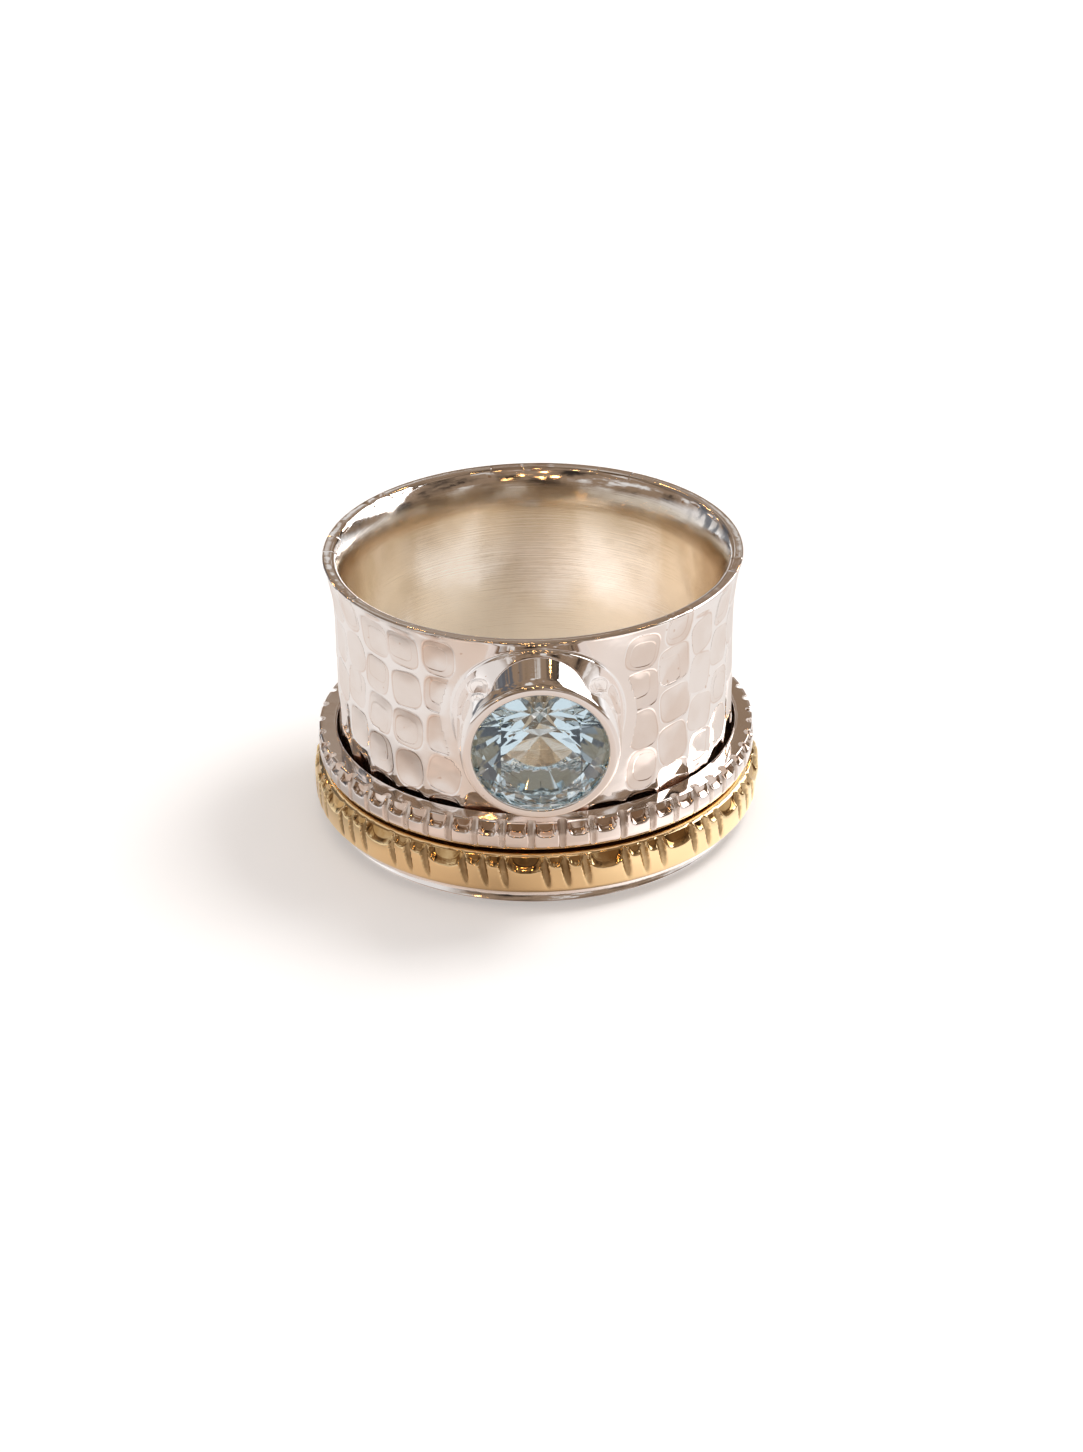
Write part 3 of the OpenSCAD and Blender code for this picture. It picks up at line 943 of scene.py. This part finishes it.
def makeSilver(name, look):
    material = bpy.data.materials.new(name)
    board = NodeBoard(material)
    place = board.add("ShaderNodeTexCoord").outputs["Object"]
    satin, polish, border, strike, gapShade, paleBeltAndSides = (
        board.attribute(layer) for layer in ("satin", "polish", "border", "strike", "gapShade", "paleBeltAndSides"))
    cloud = board.noise(place, *look["cloud"])
    grain = board.noise(place, *look["grain"])
    inMark = board.spread(border, 0.0, 1.0, -0.02, 0.14)
    # painted shade inside the marks, broken up by the cloud pattern
    markShade = board.times(board.spread(cloud, 0.5, 1.0, 0.35, 0.65), inMark)
    colour = board.blend(markShade, look["colour"], look["shade"])
    # painted shade lines where the hammer's edge bit, broken up here and there, and a few pits
    inwards = board.sums("ABSOLUTE", board.sums("SUBTRACT", border, look["lineInside"]), 0)
    line = board.spread(inwards, look["lineShows"], 0.0, 0.0, look["lineWide"])
    fine = board.spread(board.sums("ABSOLUTE", strike, 0), look["strikeShows"], 0.0, 0.0, look["strikeWide"])
    line = board.times(board.sums("MAXIMUM", line, fine), board.spread(cloud, 0.2, 1.0, 0.38, 0.62))
    pits = board.spread(board.noise(place, *look["pits"]), 0.0, 0.7, 0.83, 0.86)
    colour = board.blend(board.sums("MAXIMUM", line, pits), colour, look["line"])
    # the satin goes from its dark to its pale colour with blotches, the paler belt and the paler sides of the
    # hole, whose paleness is painted light
    satinPaleness = board.spread(board.noise(place, *look["satinPaleness"]), -0.45, 0.45, 0.3, 0.7)
    satinPaleness = board.spread(board.sums("ADD", paleBeltAndSides, satinPaleness), 0.0, 1.0)
    colour = board.blend(satin, colour, board.blend(satinPaleness, look["satinDark"], look["satinColour"]))
    # painted shade in the gaps behind the loose rings
    colour = board.blend(gapShade, colour, look["gapShade"])
    rough = board.spread(cloud, look["roughLow"], look["roughHigh"], 0.3, 0.75)
    rough = board.shift(polish, rough, look["polishRough"])
    rough = board.shift(satin, rough, look["satinRough"])
    rough = board.shift(gapShade, rough, look["gapShadeRough"])
    # the planished skin is faintly uneven, and the hole is wavy with brush lines round it
    uneven = board.noise(place, *look["uneven"])
    wavy = board.noise(board.stretched(place, look["wavyStretch"]), *look["wavy"])
    brushed = board.noise(board.stretched(place, look["brushedStretch"]), *look["brushed"])
    normal = board.bump(uneven, look["unevenStep"], board.sums("SUBTRACT", look["unevenShows"], polish))
    normal = board.bump(board.spread(border, 1.0, 0.0, -0.05, 0.05), look["borderStep"], 1.0, normal)
    normal = board.bump(board.spread(strike, 1.0, 0.0, -0.04, 0.04), look["strikeStep"], 1.0, normal)
    normal = board.bump(grain, look["grainStep"], look["grainShows"], normal)
    normal = board.bump(wavy, look["wavyStep"], satin, normal)
    normal = board.bump(brushed, look["brushedStep"], satin, normal)
    # brushed round the hole, so that its glow spreads up and down
    roundHole = board.add("ShaderNodeTangent", direction_type="RADIAL", axis="Z").outputs[0]
    brushing = board.spread(satin, 0.0, look["brushing"])
    shader = board.add("ShaderNodeBsdfPrincipled", {
        "Base Color": colour, "Metallic": 1.0, "Roughness": rough, "Normal": normal,
        "Anisotropic": brushing, "Anisotropic Rotation": 0.25, "Tangent": roundHole,
    })
    board.finish(shader.outputs[0])
    return material


cutSilverLook = {
    "colour": (0.955, 0.905, 0.880, 1),
    "cutColour": (0.66, 0.58, 0.52, 1),
    "rough": 0.045,
    "cutRough": 0.36,
    "topRough": 0.045,  # added on the flat top
    # painted shade in the scooped hollows
    "hollowShade": (0.66, 0.50, 0.40, 1),
    # painted shade in the gaps against the band
    "gapShade": (0.50, 0.36, 0.26, 1),
}

goldLook = {
    "colour": (0.96, 0.75, 0.44, 1),
    "cutColour": (0.31, 0.21, 0.105, 1),
    "rough": 0.055,
    "cutRough": 0.38,
    "topRough": 0.03,
    # painted shade in the scooped hollows
    "hollowShade": (0.52, 0.315, 0.125, 1),
    # painted shade in the gaps against the band
    "gapShade": (0.26, 0.16, 0.07, 1),
}

# the same relief on both: scale and detail of its patterns, and their height in metres
cutMetalGrain = {
    "cloud": (700, 4),
    "grain": (6500, 3),
    "step": 0.000012,
}


# metal that is bright on its faces and dull in its cuts, with painted shade in its scooped hollows and in the
# gaps against the band
def makeCutMetal(name, look):
    material = bpy.data.materials.new(name)
    board = NodeBoard(material)
    place = board.add("ShaderNodeTexCoord").outputs["Object"]
    cut, hollow, gapShade, top = (board.attribute(layer) for layer in ("cut", "hollow", "gapShade", "top"))
    cloud = board.noise(place, *cutMetalGrain["cloud"])
    grain = board.noise(place, *cutMetalGrain["grain"])
    dull = board.times(cut, board.spread(cloud, 0.6, 1.0, 0.3, 0.7))
    # painted shade in the scooped hollows, broken up by the cloud pattern
    hollow = board.times(hollow, board.spread(cloud, 0.55, 1.0, 0.35, 0.6))
    colour = board.blend(hollow, look["colour"], look["hollowShade"])
    colour = board.blend(dull, colour, look["cutColour"])
    # painted shade in the gaps against the band, with a duller finish
    colour = board.blend(gapShade, colour, look["gapShade"])
    rough = board.shift(board.sums("MAXIMUM", dull, gapShade), look["rough"], look["cutRough"])
    rough = board.sums("ADD", rough, board.spread(top, 0.0, look["topRough"]))
    rough = board.sums("ADD", rough, board.spread(cloud, -0.02, 0.03, 0.3, 0.7))
    normal = board.bump(cloud, cutMetalGrain["step"], 0.35)
    normal = board.bump(grain, cutMetalGrain["step"], cut, normal)
    shader = board.add("ShaderNodeBsdfPrincipled", {
        "Base Color": colour, "Metallic": 1.0, "Roughness": rough, "Normal": normal,
    })
    board.finish(shader.outputs[0])
    return material


stoneLook = {
    "colour": (0.96, 0.985, 1.0, 1),
    "index": 1.62,  # of refraction
    "depthColour": (0.42, 0.72, 0.84, 1),
    "depthDensity": 60.0,  # per metre
    "haze": (0.0, 0.012),  # least and most roughness
    "hazeGrain": (1800, 2),
    "hazeStart": (0.45, 0.8),
}


def makeTopazGlass():
    material = bpy.data.materials.new("pale_blue_topaz")
    board = NodeBoard(material)
    place = board.add("ShaderNodeTexCoord").outputs["Object"]
    haze = board.noise(place, *stoneLook["hazeGrain"])
    haze = board.spread(haze, *stoneLook["haze"], *stoneLook["hazeStart"])
    shader = board.add("ShaderNodeBsdfPrincipled", {
        "Base Color": stoneLook["colour"], "Roughness": haze, "IOR": stoneLook["index"],
        "Transmission Weight": 1.0,
    })
    volume = board.add("ShaderNodeVolumeAbsorption", {
        "Color": stoneLook["depthColour"], "Density": stoneLook["depthDensity"],
    })
    board.finish(shader.outputs[0], volume.outputs[0])
    return material


def wear(piece, material):
    piece.data.materials.clear()
    piece.data.materials.append(material)


# floor, room, lights and camera

# the floor looks white to the camera, but the metal mirrors it with painted shade, warm and rosy close in
# front of the ring, a painted brown room farther off, and a glow close to the ring. A pair of distances from
# the ring's middle says where a tone or glow starts or ends, negative towards the camera and to the left
floorLook = {
    "size": 3.0,
    "colour": (0.87, 0.855, 0.85, 1),
    "warm": (0.72, 0.60, 0.52, 1),  # painted shade close in front, seen only in the metal
    "warmFront": (-0.010, -0.004),
    "warmLeft": (-0.024, -0.010),
    "warmRight": (0.002, 0.014),
    "warmRightShare": 0.45,
    "rosy": (0.76, 0.705, 0.68, 1),
    "rosyFront": (-0.036, -0.014),
    "brown": (0.24, 0.165, 0.115, 1),  # painted reflection of a darker room farther off
    "brownFront": (-0.110, -0.040),
    "lift": 0.30,  # extra white that only the camera sees
    "rightGlow": 0.46,  # extra light close by that only the metal sees
    "rightStart": (0.001, 0.009),
    "rightEnd": (0.011, 0.016),
    "leftGlow": 0.30,
    "leftLeast": 0.06,
    "leftStart": (-0.008, -0.001),
    "leftEnd": (-0.014, -0.010),
    "frontEnd": (-0.017, -0.0125),
    "frontLeast": 0.1,
    "glowWhite": (1.0, 0.99, 0.985, 1),
    "glowWarm": (1.0, 0.84, 0.75, 1),  # on the left
    "glowTurns": (-0.002, 0.003),
    "holeGlow": 0.5,  # at the sides of the finger hole
    "holeEdge": (0.0108, 0.0110),  # from the middle of the band, not of its foot
    "holeSides": (0.002, 0.0075),
}


def makeFloor():
    half = floorLook["size"] / 2 / mm
    corners = [(x * half, y * half, -halfWidth) for x, y in ((-1, -1), (1, -1), (1, 1), (-1, 1))]
    floor = makePiece("floor", corners, [[0, 1, 2, 3]])
    material = bpy.data.materials.new("white_paper")
    board = NodeBoard(material)
    path = board.add("ShaderNodeLightPath")
    seen, mirrored = path.outputs["Is Camera Ray"], path.outputs["Is Glossy Ray"]
    place = board.add("ShaderNodeTexCoord").outputs["Object"]
    parts = board.add("ShaderNodeSeparateXYZ", {0: place})
    aside, away = parts.outputs[0], parts.outputs[1]

    # painted shade and a painted brown room that only the metal sees in the floor
    warm = board.times(
        board.spread(away, 1, 0, *floorLook["warmFront"]),
        board.spread(aside, 0, 1, *floorLook["warmLeft"]),
        board.spread(aside, 1, floorLook["warmRightShare"], *floorLook["warmRight"]),
    )
    tone = board.blend(warm, floorLook["colour"], floorLook["warm"])
    tone = board.blend(board.spread(away, 1, 0, *floorLook["rosyFront"]), tone, floorLook["rosy"])
    tone = board.blend(board.spread(away, 1, 0, *floorLook["brownFront"]), tone, floorLook["brown"])
    tone = board.blend(mirrored, floorLook["colour"], tone)
    paper = board.add("ShaderNodeBsdfDiffuse", {"Color": tone})

    right = board.spread(aside, 0, floorLook["rightGlow"], *floorLook["rightStart"])
    left = board.spread(aside, floorLook["leftGlow"], floorLook["leftLeast"], *floorLook["leftStart"])
    glow = board.times(
        board.sums("ADD", left, right),
        board.spread(away, floorLook["frontLeast"], 1, *floorLook["frontEnd"]),
        board.spread(aside, 1, 0, *floorLook["rightEnd"]),
        board.spread(aside, 0, 1, *floorLook["leftEnd"]),
    )
    fromMiddle = board.add("ShaderNodeVectorMath", {0: place}, operation="LENGTH").outputs["Value"]
    inHole = board.times(
        board.spread(fromMiddle, 1, 0, *floorLook["holeEdge"]),
        board.spread(board.sums("ABSOLUTE", aside, 0), 0.0, floorLook["holeGlow"], *floorLook["holeSides"]),
    )
    glow = board.times(mirrored, board.sums("MAXIMUM", glow, inHole))
    strength = board.sums("ADD", glow, board.times(seen, floorLook["lift"]))
    warmSide = board.times(board.spread(aside, 1, 0, *floorLook["glowTurns"]), mirrored)
    tint = board.blend(warmSide, floorLook["glowWhite"], floorLook["glowWarm"])
    lift = board.add("ShaderNodeEmission", {"Color": tint, "Strength": strength})
    both = board.add("ShaderNodeAddShader", {0: paper.outputs[0], 1: lift.outputs[0]})
    board.finish(both.outputs[0])
    wear(floor, material)


# a pair of numbers says where a tone starts or ends: in a pattern for Start, otherwise in a direction of
# length 1, with rise up, behind away from the camera, and across negative on the left
roomLook = {
    "white": (1.0, 0.99, 0.985, 1),
    "fill": 0.52,  # of the white light that matt surfaces get
    "dark": (0.03, 0.022, 0.018, 1),
    "brown": (0.27, 0.19, 0.13, 1),
    "pale": (0.72, 0.70, 0.68, 1),
    "patches": (2.6, 5, 0.6),  # scale, detail and roughness
    "brownStart": (0.36, 0.52),
    "paleStart": (0.58, 0.64),
    "wall": (0.74, 0.715, 0.70, 1),  # on the left
    "wallRise": (0.28, 0.45),
    "wallAcross": (-0.80, -0.60),
    "paperRise": (0.05, 0.20),
    "paperBehind": (-0.45, 0.0),
    "slate": (0.10, 0.11, 0.13, 1),  # streaks behind on the left
    "streaks": (1.6, 2, 0.5),
    "streakStart": (0.50, 0.56),
    "streakAcross": (-0.40, -0.15),
    "streakBehind": (0.2, 0.5),
    # what the stone's facets gather: pale low down, slate with a few pale panes, olive brown overhead
    "stonePale": (0.88, 0.905, 0.925, 1),
    "stonePaleRise": (0.22, 0.28),
    "stoneSlate": (0.055, 0.065, 0.08, 1),
    "stoneBrown": (0.25, 0.20, 0.14, 1),
    "stoneBrownRise": (0.40, 0.55),
    "panes": (4.2, 2, 0.5),
    "paneStart": (0.60, 0.66),
    "paneShare": 0.8,  # how much of the pale a pane has
}


# soft white light all round; shiny and clear surfaces see a brown room with pale and dark patches instead
def makeRoom():
    world = bpy.data.worlds.new("studio")
    bpy.context.scene.world = world
    board = NodeBoard(world)
    path = board.add("ShaderNodeLightPath")
    through = path.outputs["Is Transmission Ray"]
    mirrored = board.sums("MAXIMUM", path.outputs["Is Glossy Ray"], through)
    way = board.add("ShaderNodeTexCoord").outputs["Generated"]
    across, behind, rise = board.add("ShaderNodeSeparateXYZ", {0: way}).outputs

    patches = board.noise(board.stretched(way, (1, 1, 1.6)), *roomLook["patches"])
    brown = board.spread(patches, 0, 1, *roomLook["brownStart"])
    pale = board.spread(patches, 0, 1, *roomLook["paleStart"])
    room = board.blend(brown, roomLook["dark"], roomLook["brown"])
    room = board.blend(pale, room, roomLook["pale"])
    wall = board.times(
        board.spread(across, 1, 0, *roomLook["wallAcross"]),
        board.spread(rise, 1, 0, *roomLook["wallRise"]),
    )
    room = board.blend(wall, room, roomLook["wall"])
    # white paper rises a little behind and beside the ring, but not on the camera's side
    paper = board.times(
        board.spread(rise, 1, 0, *roomLook["paperRise"]),
        board.spread(behind, 0, 1, *roomLook["paperBehind"]),
    )
    room = board.blend(paper, room, roomLook["white"])
    streaks = board.noise(board.stretched(way, (7, 7, 1)), *roomLook["streaks"])
    streaks = board.times(
        board.spread(streaks, 0, 0.9, *roomLook["streakStart"]),
        board.spread(across, 1, 0, *roomLook["streakAcross"]),
        board.spread(behind, 0, 1, *roomLook["streakBehind"]),
    )
    room = board.blend(streaks, room, roomLook["slate"])

    gathered = board.spread(rise, 0, 1, *roomLook["stoneBrownRise"])
    gathered = board.blend(gathered, roomLook["stoneSlate"], roomLook["stoneBrown"])
    panes = board.noise(way, *roomLook["panes"])
    panes = board.spread(panes, 0, roomLook["paneShare"], *roomLook["paneStart"])
    gathered = board.blend(panes, gathered, roomLook["stonePale"])
    low = board.spread(rise, 1, 0, *roomLook["stonePaleRise"])
    gathered = board.blend(low, gathered, roomLook["stonePale"])
    room = board.blend(through, room, gathered)

    colour = board.blend(mirrored, roomLook["white"], room)
    fill = board.spread(mirrored, roomLook["fill"], 1.0)
    light = board.add("ShaderNodeBackground", {"Color": colour, "Strength": fill})
    board.finish(light.outputs[0], kind="ShaderNodeOutputWorld")


# turns go from +X towards +Y, sizes and distances are in metres
lights = {
    "window": {"turn": 28, "rise": 36, "distance": 1.2, "size": (1.2, 0.7), "power": 8.0},
    "key": {"turn": 22, "rise": 58, "distance": 1.2, "size": (0.45, 0.45), "power": 6.8},  # only on the floor
    "panelColour": (1.0, 0.99, 0.98),
    "holeLamp": {"height": 0.5, "power": 2.3, "cone": 2.46, "blend": 0.05},  # on the floor in the finger hole
    "warmLamps": [  # turn, rise and share of the power
        (104, 46, 1.0), (74, 47, 0.7), (116, 38, 0.8), (62, 27, 0.6), (-97, 44, 1.0), (-84, 48, 0.7),
        (-108, 46, 0.8), (-74, 42, 0.6), (128, 26, 0.8), (-122, 12, 0.6),
        (-95, 70, 0.8), (-60, 62, 0.7), (-130, 64, 0.7), (-30, 68, 0.5), (-160, 70, 0.5), (-100, 54, 0.7),
    ],
    "warmColour": (1.0, 0.55, 0.20),
    "warmDistance": 0.42,
    "warmRadius": 0.007,
    "warmPower": 0.06,
}


# direction with turn from +X towards +Y and rise above the floor
def direction(turn, rise):
    turn, rise = math.radians(turn), math.radians(rise)
    return Vector((math.cos(turn) * math.cos(rise), math.sin(turn) * math.cos(rise), math.sin(rise)))


def addLight(name, kind, place, power, colour=(1, 1, 1)):
    light = bpy.data.lights.new(name, kind)
    light.energy = power
    light.color = colour
    lamp = bpy.data.objects.new(name, light)
    bpy.context.scene.collection.objects.link(lamp)
    lamp.location = place
    lamp.rotation_euler = place.to_track_quat("Z", "Y").to_euler()
    lamp.visible_camera = False
    return lamp


def makeLights():
    for name in ("window", "key"):
        panel = lights[name]
        place = direction(panel["turn"], panel["rise"]) * panel["distance"]
        lamp = addLight(name, "AREA", place, panel["power"], lights["panelColour"])
        lamp.data.shape = "RECTANGLE"
        lamp.data.size, lamp.data.size_y = panel["size"]
        lamp.visible_glossy = name == "window"
        lamp.visible_diffuse = name == "key"
        lamp.visible_transmission = False
    hole = lights["holeLamp"]
    lamp = addLight("hole_lamp", "SPOT", Vector((0, 0, hole["height"])), hole["power"])
    lamp.data.spot_size = math.radians(hole["cone"])
    lamp.data.spot_blend = hole["blend"]
    lamp.visible_glossy = False
    for number, (turn, rise, share) in enumerate(lights["warmLamps"]):
        place = direction(turn, rise) * lights["warmDistance"]
        power = lights["warmPower"] * share
        lamp = addLight(f"warm_lamp_{number}", "POINT", place, power, lights["warmColour"])
        lamp.data.shadow_soft_size = lights["warmRadius"]


shot = {
    "distance": 155.0,  # in millimetres, from the middle of the foot
    "elevation": 28.585,
    "roll": -0.956,
    "right": 0.217,
    "up": 3.453,
    "turn": -1.0,
    "lens": 77.46,
}


def makeCamera():
    rise, roll = math.radians(shot["elevation"]), math.radians(shot["roll"])
    back = Vector((0, -math.cos(rise), math.sin(rise)))
    level = Vector((0, math.sin(rise), math.cos(rise)))
    side = Vector((1, 0, 0))
    right = side * math.cos(roll) + level * math.sin(roll)
    upward = level * math.cos(roll) - side * math.sin(roll)
    place = Vector((0, 0, -halfWidth)) + back * shot["distance"] + right * shot["right"] + upward * shot["up"]
    turned = Matrix.Rotation(math.radians(shot["turn"]), 3, "Z")
    axes = Matrix([turned @ right, turned @ upward, turned @ back]).transposed()
    camera = bpy.data.objects.new("camera", bpy.data.cameras.new("camera"))
    bpy.context.scene.collection.objects.link(camera)
    camera.matrix_world = Matrix.Translation(turned @ place * mm) @ axes.to_4x4()
    camera.data.lens = shot["lens"]
    camera.data.clip_start = 0.01
    camera.data.clip_end = 10
    bpy.context.scene.camera = camera


def setLook():
    scene = bpy.context.scene
    scene.view_settings.view_transform = "Standard"
    scene.cycles.max_bounces = 24
    scene.cycles.glossy_bounces = 16
    scene.cycles.transmission_bounces = 20
    scene.cycles.use_denoising = True


makeCamera()
makeFloor()
makeRoom()
makeLights()
setLook()
print("studio ready")

bandPiece = makeBand()
stonePiece = makeStone()
notchedPiece = makeNotchedRing()
goldPiece = makeGoldRing()

wear(bandPiece, makeSilver("hammered_silver", silverLook))
wear(stonePiece, makeTopazGlass())
wear(notchedPiece, makeCutMetal("notched_silver", cutSilverLook))
wear(goldPiece, makeCutMetal("worn_gold", goldLook))
print("materials on")
